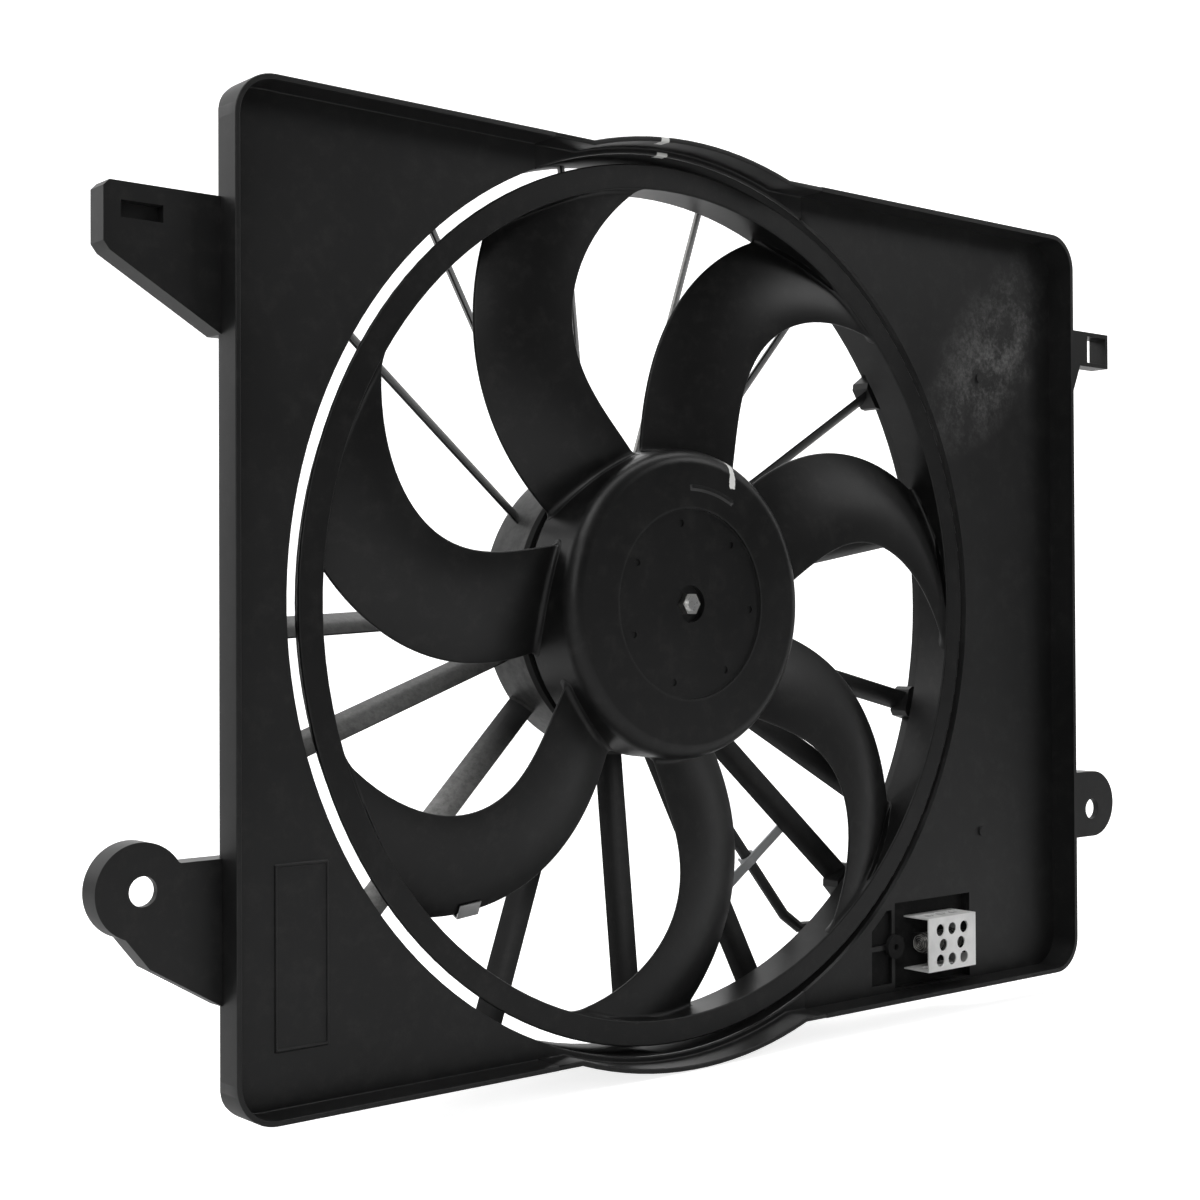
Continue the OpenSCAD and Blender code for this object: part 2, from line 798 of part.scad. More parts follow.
// Lead clip: a light strip on the vane's rear edge with a loop round the lead
module lead_clip() {
    near = lead_r + 0.3;
    reach = clip_r * sin(lead_at - clip_vane) - 1;
    color("#b9bbbd") at_axis()
        translate(on_clock(lead_at, clip_r, vane_y(clip_r) + beside_vane))
            rotate([0, lead_at, 0]) rotate([vane_lean, 0, 0]) {
                difference() {
                    cylinder(r = near + 1.6, h = 6, center = true);
                    cylinder(r = near, h = 7, center = true);
                    translate([-2.6, near * 0.5, -4]) cube([5.2, near, 8]);
                }
                difference() {
                    translate([-reach, -near - 0.1 - clip_t / 2, -3])
                        cube([reach + 24, clip_t / 2 + 0.6, 6]);
                    cylinder(r = near + 0.5, h = 7, center = true);
                }
            }
}

// Resistor
module cage_frame() {
    difference() {
        translate([cage_x, cage_y, cage_top - cage_h]) cube([cage_w, cage_d, cage_h]);
        translate([cage_x - 1, cage_y + cage_t, cage_top - cage_h + cage_t])
            cube([cage_w + 1 - cage_t, cage_d, cage_h - 2 * cage_t]);
    }
}

// Rows of three, two and three holes in the cage's face, and more in its other sides
module resistor_cage() {
    column = cage_w / 4;
    hole_z = cage_mid_z - 0.8;
    color("#d9dadb") at_axis() difference() {
        cage_frame();
        for (spot = [[-1, 1], [0, 1], [1, 1], [-0.75, 0], [0.75, 0], [-1, -1], [0, -1], [1, -1]])
            translate([cage_x + column * (2 + spot[0]), 0, hole_z + spot[1] * cage_row])
                slab(cage_y - 1, cage_y + cage_t + 1) circle(cage_hole_r);
        for (row = [-1, 1])
            translate([cage_x + cage_w - 2, coil_y, cage_mid_z + row * cage_row * 0.7])
                rotate([0, 90, 0]) cylinder(r = cage_hole_r, h = 4);
        for (i = [1 : 3])
            translate([cage_x + column * i, coil_y, cage_top - cage_h - 1])
                cylinder(r = cage_hole_r, h = cage_h + 2);
    }
}

module resistor_coil() {
    turns = 9;
    pitch = (coil_len - 4) / turns;
    color("#9c9489") at_axis()
        translate([coil_x, coil_y, cage_mid_z]) rotate([0, 90, 0]) {
            cylinder(r = coil_r - 1.2, h = coil_len);
            for (i = [0 : turns - 1])
                translate([0, 0, 2 + i * pitch]) cylinder(r = coil_r, h = pitch * 0.6);
        }
}

// What holds the coil: a saddle behind its left end and a post at its right end
module coil_supports() {
    saddle_y = coil_y + coil_r + seat;
    translate([coil_x + 5, saddle_y, cage_mid_z - 5]) cube([6, floor_y - saddle_y + eps, 10]);
    translate([coil_x + coil_len + seat, coil_y - 5, cage_mid_z - 5])
        cube([2.6, floor_y - coil_y + 5 + eps, 10]);
}

// An ear in front of the plate, on an arm that comes through the window
module carrier_ear() {
    front = plate_y - seat - base_t;
    difference() {
        union() {
            slab(front, plate_y - seat) translate([window_x - slot_bar / 2, window_mid_z])
                circle(ear_r);
            translate([window_x + seat, front, window_mid_z - 5])
                cube([5, floor_y - front + eps, 10]);
        }
        slab(front - 1, plate_y) translate([window_x - slot_bar / 2, window_mid_z]) circle(tap_r);
    }
}

// Dark carrier: a flange behind the window and the slot, clear of the barrel, with a shallow
// pocket for the cage and a housing on its rear
module resistor_carrier() {
    pocket_w = window_w - 2 * seat;
    pocket_h = window_h - 2 * seat;
    color("#17181a") at_axis() difference() {
        union() {
            difference() {
                union() {
                    translate([base_x, base_y, window_mid_z - base_h / 2])
                        cube([base_w, base_t, base_h]);
                    translate([window_x - base_t, base_y, window_mid_z - base_h / 2])
                        cube([window_w + 2 * base_t, pocket_d + base_t, base_h]);
                }
                translate([window_x + seat, base_y - 1, window_mid_z - pocket_h / 2])
                    cube([pocket_w, pocket_d + 1, pocket_h]);
            }
            translate([housing_x, floor_y + base_t - eps, window_mid_z - housing_h / 2])
                cube([housing_w, housing_d, housing_h]);
            coil_supports();
            carrier_ear();
        }
        for (z = tap_rows) translate([tap_x, 0, z]) slab(base_y - 1, base_y + 4) circle(tap_r + seat);
        slab(base_y - 1, floor_y + base_t + 1) circle(hole_r + wall + seat, $fn = 180);
    }
}

module resistor_screws() {
    color("#8b8e92") at_axis() for (z = tap_rows) translate([tap_x, 0, z]) {
        slab(plate_y + 0.8, base_y + base_t + seat) circle(tap_r - seat / 2);
        slab(base_y + base_t + seat - eps, base_y + base_t + 2.6) difference() {
            circle(4);
            circle(1.8, $fn = 6);
        }
    }
}

// Fan hub: a deep cup with a rounded front edge, ribs and a boss for the shaft
module hub_profile() {
    difference() {
        union() {
            translate([0, hub_y]) square([hub_r - hub_edge_r, hub_depth]);
            translate([0, hub_y + hub_edge_r]) square([hub_r, hub_depth - hub_edge_r]);
            translate([hub_r - hub_edge_r, hub_y + hub_edge_r]) circle(hub_edge_r, $fn = 48);
        }
        difference() {
            union() {
                translate([-1, hub_y + hub_wall + disc_sunk])
                    square([hub_r - hub_edge_r + 1, hub_depth]);
                translate([-1, hub_y + hub_edge_r])
                    square([hub_r - hub_wall + 1, hub_depth]);
                translate([hub_r - hub_edge_r, hub_y + hub_edge_r])
                    circle(hub_edge_r - hub_wall, $fn = 48);
            }
            translate([-2, 0]) square([boss_r + 2, boss_back]);
        }
        translate([-1, hub_y - 1]) square([disc_r + 1, disc_sunk + 1]);
        translate([-1, hub_y - 1]) square([nut_recess_r + 1, boss_y - hub_y + 1]);
        translate([-1, 0]) square([shaft_r + 1 + shaft_fit, hub_depth + 20]);
        translate([-1, boss_back]) square([boss_r + 2, 40]);
    }
}

// Ribs inside the cup: from the boss along the face and down the wall
module hub_ribs() {
    face = hub_y + disc_sunk + hub_wall / 2;
    edge = hub_edge_r - hub_wall / 2;
    middle_r = hub_r - hub_edge_r;
    middle_y = hub_y + hub_edge_r;
    for (i = [0 : 2 * blades - 1]) at_clock(i * blade_pitch / 2)
        rotate([90, 0, 90]) linear_extrude(2.2, center = true)
            polygon([[face, boss_r - 1], [face, middle_r],
                     [middle_y - edge * 0.7, middle_r + edge * 0.7], [middle_y, middle_r + edge],
                     [hub_back - 4, middle_r + edge], [hub_back - 4, can_r + 17],
                     [can_y - 6, can_r + 11], [face + 9, boss_r - 1]]);
}

module fan_hub() {
    color("#242528") at_axis() difference() {
        union() {
            turned() hub_profile();
            hub_ribs();
        }
        for (i = [0 : blades - 1]) at_clock(i * blade_pitch - 9, dimple_pcr)
            slab(hub_y, hub_y + disc_sunk + 0.8) circle(dimple_r, $fn = 32);
    }
}

// A blade is a loft of arc sections between hub and band, its edges swept in a curve
function blade_mid(t, s) =
    let (a_lead = span_curve(lead_root, lead_mid, lead_tip, t),
         a_trail = span_curve(trail_root, trail_mid, trail_tip, t),
         y_lead = span_curve(lead_root_y, lead_mid_y, lead_tip_y, t),
         rise = span_curve(rise_root, rise_mid, rise_tip, t))
    on_clock(between(a_lead, a_trail, s), between(blade_root_r, blade_tip_r, t),
             y_lead + rise * s - camber * 4 * s * (1 - s));

function blade_row(t, n) =
    [for (side = [-1, 1], i = [0 : n])
        let (s = (1 - cos(180 * (side < 0 ? i : n - i) / n)) / 2,
             half = (blade_edge_t + (blade_t - blade_edge_t) * sin(180 * s)) / 2)
        blade_mid(t, s) + [0, side * half, 0]];

module blade_solid() {
    rows = 11;
    n = 9;
    ring = 2 * (n + 1);
    points = [for (i = [0 : rows]) each blade_row(i / rows, n)];
    sides = [for (i = [0 : rows - 1], k = [0 : ring - 1])
        [i * ring + k, i * ring + (k + 1) % ring,
         (i + 1) * ring + (k + 1) % ring, (i + 1) * ring + k]];
    caps = [for (k = [0 : n - 1]) each [
        [ring - 1 - k, k + 1, k],
        [ring - 1 - k, ring - 2 - k, k + 1],
        [rows * ring + k, rows * ring + k + 1, rows * ring + ring - 1 - k],
        [rows * ring + k + 1, rows * ring + ring - 2 - k, rows * ring + ring - 1 - k]]];
    triangles = [for (q = sides) each [[q[0], q[1], q[2]], [q[0], q[2], q[3]]]];
    polyhedron(points, concat(triangles, caps), convexity = 6);
}

module fan_blade(number) {
    color("#2e2f32") at_axis() rotate([0, (number - 1) * blade_pitch, 0]) blade_solid();
}

module fan_blade_1() {
    fan_blade(1);
}

module fan_blade_2() {
    fan_blade(2);
}

module fan_blade_3() {
    fan_blade(3);
}

module fan_blade_4() {
    fan_blade(4);
}

module fan_blade_5() {
    fan_blade(5);
}

module fan_blade_6() {
    fan_blade(6);
}

module fan_blade_7() {
    fan_blade(7);
}

// Fan band: a thin cylinder round the blade tips with a rounded flange at its front
module fan_band() {
    e = band_edge_r;
    color("#2a2b2e") at_axis() turned() {
        translate([band_r + e, band_y]) square([flange_w - 2 * e, band_t]);
        translate([band_r, band_y + e]) square([flange_w, band_t - 2 * e]);
        translate([band_r, band_y + e]) square([band_t, band_depth - e]);
        translate([band_r + e, band_y + e]) circle(e, $fn = 32);
        for (y = [band_y + e, band_y + band_t - e]) translate([ring_r - e, y]) circle(e, $fn = 32);
    }
}

module motor_shaft() {
    color("#b9bdc2") at_axis() slab(shaft_y, bearing_y + 4) circle(shaft_r, $fn = 64);
}

module hub_nut() {
    color("#c9ccd0") at_axis() slab(nut_y, nut_y + nut_t - seat) difference() {
        circle(nut_r, $fn = 6);
        circle(shaft_r + shaft_fit, $fn = 64);
    }
}

module armature_core() {
    color("#6d7075") at_axis() difference() {
        tube(core_r, shaft_r + shaft_fit, core_y, core_back);
        for (a = [0 : 30 : 330]) at_clock(a) {
            translate([-1.2, core_y - 1, core_r - 8]) cube([2.4, core_len + 2, 10]);
            translate([0, 0, core_r - 12]) slab(core_y - 1, core_back + 1) circle(5, $fn = 32);
        }
    }
}

module armature_windings() {
    color("#b0602a") at_axis() turned() {
        for (y = [core_y - winding_h / 2 - seat, core_back + winding_h / 2 + seat]) {
            translate([shaft_r + 8, y - winding_h / 2]) square([core_r - shaft_r - 18, winding_h]);
            translate([core_r - 10, y]) circle(winding_h / 2, $fn = 32);
        }
    }
}

module commutator() {
    color("#b87333") at_axis() difference() {
        tube(commutator_r, shaft_r + shaft_fit, commutator_y, commutator_back);
        for (a = [0 : 15 : 345]) at_clock(a, commutator_r - 1)
            translate([-0.3, commutator_y - 1, 0]) cube([0.6, 40, 2]);
    }
}

// Balance clip: a steel U pushed on the trailing edge of the sixth blade
module balance_clip() {
    t = 0.85;
    gap = blade_edge_t + 1.5;
    edge = blade_mid(t, 1);
    along = unit(blade_mid(t + 0.02, 1) - blade_mid(t - 0.02, 1));
    chord = blade_mid(t, 0.93) - edge;
    inward_way = unit(chord - (chord * along) * along);
    across = cross(along, inward_way);
    color("#c8cbcf") at_axis() rotate([0, 5 * blade_pitch, 0]) translate(edge)
        rotate([atan2(across[2], along[2]), -asin(inward_way[2]), atan2(inward_way[1], inward_way[0])])
            difference() {
                translate([-1.6, -gap / 2 - 0.7, -7]) cube([8.5, gap + 1.4, 14]);
                translate([-0.9, -gap / 2, -8]) cube([12, gap, 16]);
            }
}

panel_left();
panel_right();
panel_arcs();
barrel();
lug_left();
lug_right();
bracket_left();
bracket_right();
stator_vanes();
motor_carrier();
motor_can();
motor_end_plate();
motor_magnets();
front_bush();
rear_bush();
brush_card();
brushes();
brush_springs();
motor_screws();
lead_grommet();
motor_lead();
lead_clip();
resistor_carrier();
resistor_cage();
resistor_coil();
resistor_screws();
fan_hub();
fan_blade_1();
fan_blade_2();
fan_blade_3();
fan_blade_4();
fan_blade_5();
fan_blade_6();
fan_blade_7();
fan_band();
motor_shaft();
hub_nut();
armature_core();
armature_windings();
commutator();
balance_clip();
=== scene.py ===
import json
import math
from collections import namedtuple

import bmesh
import bpy
from mathutils import Matrix, Vector


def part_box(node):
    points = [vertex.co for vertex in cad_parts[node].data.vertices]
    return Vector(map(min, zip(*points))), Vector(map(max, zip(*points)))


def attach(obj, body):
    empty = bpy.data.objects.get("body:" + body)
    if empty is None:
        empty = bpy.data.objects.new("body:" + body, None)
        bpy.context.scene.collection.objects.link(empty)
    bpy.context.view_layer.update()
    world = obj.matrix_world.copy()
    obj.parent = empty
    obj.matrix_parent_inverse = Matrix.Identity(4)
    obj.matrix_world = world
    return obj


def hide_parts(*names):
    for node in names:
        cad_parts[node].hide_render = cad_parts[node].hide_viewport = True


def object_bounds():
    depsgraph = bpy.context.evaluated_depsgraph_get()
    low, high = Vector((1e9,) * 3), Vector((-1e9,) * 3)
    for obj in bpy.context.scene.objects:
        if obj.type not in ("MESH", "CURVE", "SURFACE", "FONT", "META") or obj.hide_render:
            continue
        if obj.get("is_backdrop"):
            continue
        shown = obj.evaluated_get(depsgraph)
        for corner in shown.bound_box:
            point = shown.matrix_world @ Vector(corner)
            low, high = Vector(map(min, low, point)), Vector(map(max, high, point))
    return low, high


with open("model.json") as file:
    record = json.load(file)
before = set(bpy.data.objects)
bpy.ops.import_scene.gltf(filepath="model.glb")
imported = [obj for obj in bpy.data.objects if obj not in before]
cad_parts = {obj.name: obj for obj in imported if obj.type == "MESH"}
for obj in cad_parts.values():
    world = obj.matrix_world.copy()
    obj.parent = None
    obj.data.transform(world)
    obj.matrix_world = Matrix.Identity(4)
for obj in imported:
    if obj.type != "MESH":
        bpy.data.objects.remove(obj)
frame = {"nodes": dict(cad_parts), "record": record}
nodes = frame["nodes"]
MM = 0.001

# Where the fan axis crosses the rim's front plane, in the row frame, in millimetres
AXIS = Vector((332.0, -14.0, 131.8))

# Camera, solved from the photo's circles and edges: place from the fan axis in millimetres,
# angles in degrees, lens and sensor in millimetres, and how far it sees in metres
CAMERA_AT = Vector((-723.74, -781.20, -10.24))
CAMERA_YAW = 39.81
CAMERA_PITCH = 0.68
CAMERA_ROLL = -0.25
CAMERA_LENS = 56.76
CAMERA_SENSOR = 36.0
CAMERA_REACH = 100.0

# Height of the floor from the fan axis, in millimetres
FLOOR_Z = -129.5

# Floor and backdrop, in metres along the camera's view and up from the floor, with the bend's
# steps in degrees
FLOOR_FRONT = -4.0
FLOOR_BACK = 1.6
BACKDROP_BEND = 1.2
BACKDROP_TOP = 5.0
BACKDROP_STEP = 9
SHEET_HALF_WIDTH = 6.0
SHEET_SHADE = 0.8
FLOOR_GLOW = 0.82
BACKDROP_GLOW = 1.0

# Softboxes: place and size in metres, and power in watts
SOFTBOXES = {
    "overhead": ((0.35, 0.15, 1.9), (3.2, 1.6), 44.0),
    "above_left": ((-0.75, -0.7, 1.6), (0.8, 0.8), 7.0),
    "behind_left": ((-1.3, 1.3, 1.1), (1.2, 1.2), 10.0),
    "front_right": ((2.2, -1.5, 1.5), (0.9, 0.9), 8.5),
    "front_left": ((-1.3, -1.7, 0.9), (1.0, 1.0), 9.0),
}

# Strength of the world where it lights the object, and where the camera sees it
WORLD_LIGHT = 0.09
WORLD_SEEN = 1.0

# Fan, in millimetres; the blades' curves give a root, a middle and a tip value
BLADES = 7
HUB_R = 88.0
HUB_BACK = 44.0
DISC_R = 54.0
BAND_R = 234.6
BAND_FRONT = 17.0
BAND_BACK = 40.0
LEAD = (-17.2, -26.8, -6.6)
TRAIL = (-56.0, -48.4, -31.2)
LEAD_Y = (25.5, 21.0, 19.0)
RISE = (17.5, 16.5, 17.5)
CAMBER = 4.0
BLADE_T = 3.2
BLADE_EDGE_T = 1.7
FILLET = 3.4
SUNK = 0.25

# How far a blade's fillets stay from the rims of the hub and of the band
HUB_MARGIN = 0.4
BAND_MARGIN = 0.5

# Sections between a blade's fillets, steps along a chord, and degrees between the steps that
# round a fillet and an edge
BLADE_ROWS = 34
CHORD_STEPS = 22
FILLET_STEP = 15
EDGE_STEP = 18

# Widths of the rounded edges, in millimetres
ROUNDED = {
    "panel_left": 0.9, "panel_right": 0.9, "panel_arcs": 0.9, "barrel": 0.7,
    "lug_left": 0.9, "lug_right": 0.9, "bracket_left": 0.8, "bracket_right": 0.8,
    "motor_carrier": 0.7, "resistor_carrier": 0.5, "resistor_cage": 0.9,
    "stator_vanes": 0.4, "motor_can": 0.4, "lead_clip": 0.3, "fan_hub": 0.65,
}

# Nodes whose flat faces have holes, so their triangles aren't joined before rounding
PIERCED = ("panel_right", "bracket_right", "fan_hub")

# Steps across a rounded edge
BEVEL_STEPS = 3

# Corners this close are one, in metres, and points are compared in this many parts of a metre
WELD = 1e-6
POINT_PARTS = 1e6

# How close to a plane an edge lies to be on it, in millimetres
ON_PLANE = 0.05

# Angles between faces, in degrees: from where an edge is rounded, up to where faces are
# joined, and from where an edge is shaded sharp
ROUNDED_FROM = 30.0
JOINED_TO = 0.5
SHARP_FROM = 32.0

# Shade, roughness and specular level of the black mouldings
PLASTIC = {
    "moulding_black": (0.0062, 0.42, 0.38),
    "fan_black": (0.0038, 0.37, 0.33),
    # the resistor carrier's black plastic, made near-black as painted shade for the recess it sits
    # in behind the window
    "carrier_black": (0.002, 0.85, 0.4),
}

# Bare and plated metals
METALS = {
    "motor_steel": {"colour": (0.30, 0.30, 0.31), "rough": 0.46},
    "spring_steel": {"colour": (0.6, 0.6, 0.62), "rough": 0.3},
    "screw_steel": {"colour": (0.6, 0.6, 0.6), "rough": 0.34},
    "shaft_steel": {"colour": (0.75, 0.75, 0.75), "rough": 0.28},
    "nut_steel": {"colour": (0.72, 0.72, 0.7), "rough": 0.3},
    "clip_steel": {"colour": (0.66, 0.66, 0.66), "rough": 0.3},
    "laminations": {"colour": (0.3, 0.3, 0.31), "rough": 0.5},
    "cage_metal": {"colour": (0.97, 0.97, 0.96), "rough": 0.42, "metallic": 0.2},
    "copper_wire": {"colour": (0.62, 0.26, 0.11), "rough": 0.36, "grain_scale": 900.0},
    "copper_bars": {"colour": (0.72, 0.38, 0.2), "rough": 0.3},
    "bronze": {"colour": (0.5, 0.34, 0.16), "rough": 0.5},
}

# Colour and roughness of fired, sintered, moulded and rubbery matter
MATTES = {
    "ferrite": ((0.05, 0.05, 0.055), 0.6),
    "carbon": ((0.04, 0.04, 0.042), 0.5),
    "card_brown": ((0.16, 0.08, 0.04), 0.55),
    "rubber_black": ((0.012, 0.012, 0.012), 0.7),
    "lead_sleeve": ((0.012, 0.012, 0.0125), 0.5),
    "clip_grey": ((0.42, 0.43, 0.44), 0.5),
}

# Colour and roughness of what lies on the mouldings, and of the painted light and shade laid on
# them
COATS = {
    "dust": ((0.2, 0.2, 0.197), 0.6),
    # the struts' scuffs, with painted sheen on their faces that look up towards the lamps
    "scuff_and_sheen": ((0.32, 0.318, 0.31), 0.34),
    "grey_side": ((0.11, 0.11, 0.108), 0.4),
    # painted shade for the dark gap between the hub and the motor carrier
    "painted_shade_edge": ((0.002, 0.002, 0.002), 0.9),
    "rim_paint": ((0.75, 0.75, 0.73), 0.6),
    "hub_paint": ((0.85, 0.85, 0.83), 0.5),
    # painted light on the steep edge of the hub's disc
    "painted_light_edge": ((0.03, 0.03, 0.03), 0.5),
    # painted shade inside the hub's groove
    "groove": ((0.002, 0.002, 0.002), None),
}

# How much of its coat shows where a mark is strongest
DUST_AMOUNT = 0.75
# The struts' scuff amounts also set their painted sheen
SCUFF_AND_SHEEN_AMOUNT = 0.85
LEFT_SCUFF_AND_SHEEN_AMOUNT = 0.4
GREY_AMOUNT = 0.5
# Strength of the painted light on the hub disc's edge
EDGE_LIGHT_AMOUNT = 0.3
GROOVE_SHADE_AMOUNT = 0.7

# Distance between the turns of the resistor's wire, in millimetres
WIRE_PITCH = 1.26

# From here on, marks are placed from the fan axis in millimetres and by clock angle in degrees

# Streak of dust: its middle, half its length and half its width, and where it fades to the right
DUST_X = 288.0
DUST_Z = 172.0
DUST_ALONG = 120.0
DUST_ACROSS = 50.0
DUST_FADES = (318.0, 330.0)

# Motor carrier: its radii, where the painted shade on its front edge ends and where its grey side
# begins
CARRIER_RADII = (60.0, 88.0)
CARRIER_SHADE_ENDS = (56.6, 57.2)
CARRIER_SIDE_BEGINS = (57.0, 57.6)

# Scuffs and painted sheen on the struts: clock angles of the three groups, and where the marks
# begin and end
SHEEN_AND_WEAR_TOP = (-24.0, 28.0)
SHEEN_AND_WEAR_LEFT = (-114.0, -82.0)
SHEEN_AND_WEAR_LOW = (-138.0, -118.0)
SHEEN_AND_WEAR_LOW_BEGINS = (105.0, 175.0)
SHEEN_AND_WEAR_RADII = (94.0, 240.0)
SHEEN_AND_WEAR_DEPTH_BEGINS = (42.0, 48.0)

# Dabs of white paint on the rim, on the hole's edge and on the hub
RIM_DAB = {"angle": (-5.9, -4.6), "radius": (253.0, 260.5), "y": (-1.0, 7.0)}
HOLE_DAB = {"angle": (-3.1, -1.4), "radius": (250.0, 256.0), "y": (13.0, 23.0)}
HUB_DAB = {"x": (29.6, 33.4), "z": (66.5, 86.0)}

# Front side of the hub, half the width of the painted light along its disc's edge, and the groove
# in its face
HUB_FRONT = (0.0, 22.0)
EDGE_LIGHT_HALF = 0.7
GROOVE = {"angle": (0.2, 27.6), "radius": (65.6, 65.9)}


def at_axis(x, y, z):
    """A point measured from the fan axis in millimetres, in the row frame in metres."""
    return (AXIS + Vector((x, y, z))) * MM


# Materials
Place = namedtuple("Place", "radius angle x y z")


class Shader:
    """A short way to build a node tree."""

    def __init__(self, name):
        self.mat = bpy.data.materials.new(name)
        self.mat.use_nodes = True
        self.tree = self.mat.node_tree
        self.bsdf = self.tree.nodes["Principled BSDF"]
        self.coords = self.add("ShaderNodeTexCoord").outputs["Object"]

    def add(self, kind, **values):
        node = self.tree.nodes.new(kind)
        for name, value in values.items():
            setattr(node, name, value)
        return node

    def link(self, a, b):
        self.tree.links.new(a, b)

    def feed(self, socket, value):
        if isinstance(value, (int, float)):
            socket.default_value = value
        else:
            self.link(value, socket)

    def calc(self, operation, *values):
        node = self.add("ShaderNodeMath", operation=operation)
        for socket, value in zip(node.inputs, values):
            self.feed(socket, value)
        return node.outputs["Value"]

    def times(self, *values):
        """The product of two or more values."""
        product = values[0]
        for value in values[1:]:
            product = self.calc("MULTIPLY", product, value)
        return product

    def length(self, a, b):
        """The length of a slanting line that spans a one way and b the other."""
        return self.calc("SQRT", self.calc("ADD", self.times(a, a), self.times(b, b)))

    def noise(self, scale, detail=3.0, rough=0.5):
        node = self.add("ShaderNodeTexNoise")
        node.inputs["Scale"].default_value = scale
        node.inputs["Detail"].default_value = detail
        node.inputs["Roughness"].default_value = rough
        self.link(self.coords, node.inputs["Vector"])
        return node.outputs["Fac"]

    def ramp(self, value, stops):
        node = self.add("ShaderNodeValToRGB")
        for spot, (at, colour) in zip(node.color_ramp.elements, stops):
            spot.position = at
            spot.color = tint(colour)
        self.link(value, node.inputs["Fac"])
        return node.outputs["Color"]

    def mix(self, amount, a, b):
        """A colour from a to b, each a socket or a plain colour."""
        node = self.add("ShaderNodeMix", data_type="RGBA")
        self.feed(node.inputs["Factor"], amount)
        for value, name in ((a, "A"), (b, "B")):
            socket = next(s for s in node.inputs if s.name == name and s.type == "RGBA")
            if isinstance(value, tuple):
                socket.default_value = tint(value)
            else:
                self.link(value, socket)
        return next(s for s in node.outputs if s.type == "RGBA")

    def remap(self, value, low, high, start=0.0, end=1.0):
        """Goes from low to high, clamped, while the value goes from start to end."""
        node = self.add("ShaderNodeMapRange")
        node.inputs["From Min"].default_value = start
        node.inputs["From Max"].default_value = end
        node.inputs["To Min"].default_value = low
        node.inputs["To Max"].default_value = high
        self.link(value, node.inputs["Value"])
        return node.outputs["Result"]

    def within(self, value, low, high, soft):
        """1 between low and high, falling to 0 over soft on both sides."""
        rise = self.remap(value, 0.0, 1.0, low - soft, low)
        fall = self.remap(value, 1.0, 0.0, high, high + soft)
        return self.times(rise, fall)

    def place(self):
        """Where a point is from the fan axis, in millimetres, with its clock angle in degrees."""
        split = self.add("ShaderNodeSeparateXYZ")
        self.link(self.coords, split.inputs["Vector"])
        x, y, z = (self.calc("MULTIPLY_ADD", split.outputs[name], 1 / MM, -middle)
                   for name, middle in zip("XYZ", AXIS))
        angle = self.calc("DEGREES", self.calc("ARCTAN2", x, z))
        return Place(self.length(x, z), angle, x, y, z)

    def normal(self):
        """The surface's direction, as sockets X, Y and Z."""
        split = self.add("ShaderNodeSeparateXYZ")
        self.link(self.add("ShaderNodeTexCoord").outputs["Normal"], split.inputs["Vector"])
        return split.outputs

    def bump(self, height, strength, depth, under=None):
        """Relief of some depth in metres, over the relief that is under it."""
        node = self.add("ShaderNodeBump")
        node.inputs["Strength"].default_value = strength
        node.inputs["Distance"].default_value = depth
        self.link(height, node.inputs["Height"])
        if under is not None:
            self.link(under, node.inputs["Normal"])
        return node.outputs["Normal"]

    def put(self, name, value):
        """Sets one of the shader's own sockets to a number, a colour or another socket."""
        socket = self.bsdf.inputs[name]
        if isinstance(value, tuple):
            socket.default_value = tint(value)
        else:
            self.feed(socket, value)

    def source(self, name):
        """What one of the shader's own sockets is linked to."""
        return self.bsdf.inputs[name].links[0].from_socket


def tint(colour):
    return (*colour, 1.0)


def shaded(colour, share):
    return tuple(c * share for c in colour)


def moulded_plastic(name, shade, rough, specular):
    """Black moulded plastic with fine grain, faint flow marks and a little dust."""
    s = Shader(name)
    grain = s.noise(1800.0, detail=2.0)
    flow = s.noise(7.0, detail=4.0, rough=0.6)
    specks = s.noise(90.0, detail=6.0, rough=0.75)
    dark, light = shaded((0.85, 0.86, 0.88), shade), shaded((1.2, 1.2, 1.22), shade)
    base = s.ramp(flow, [(0.35, dark), (0.65, light)])
    veil = s.remap(specks, 0.0, 0.1, start=0.5, end=0.8)
    s.put("Base Color", s.mix(veil, base, (0.12, 0.118, 0.112)))
    s.put("Roughness", s.remap(flow, rough - 0.05, rough + 0.09, start=0.3, end=0.7))
    s.put("Normal", s.bump(grain, strength=0.12, depth=0.0001))
    s.put("Specular IOR Level", specular)
    return s


def add_coat(s, mask, colour, rough):
    """Lays a coat over a material where the mask is 1, and keeps its roughness if that is None."""
    s.put("Base Color", s.mix(mask, s.source("Base Color"), colour))
    if rough is not None:
        blend = s.add("ShaderNodeMix", data_type="FLOAT")
        s.link(mask, blend.inputs["Factor"])
        s.link(s.source("Roughness"), blend.inputs["A"])
        blend.inputs["B"].default_value = rough
        s.put("Roughness", blend.outputs["Result"])


def ragged(s, value, amount):
    """Moves a coordinate a little to and fro, so that a painted edge isn't straight."""
    return s.calc("ADD", value, s.remap(s.noise(300.0), -amount, amount, start=0.3, end=0.7))


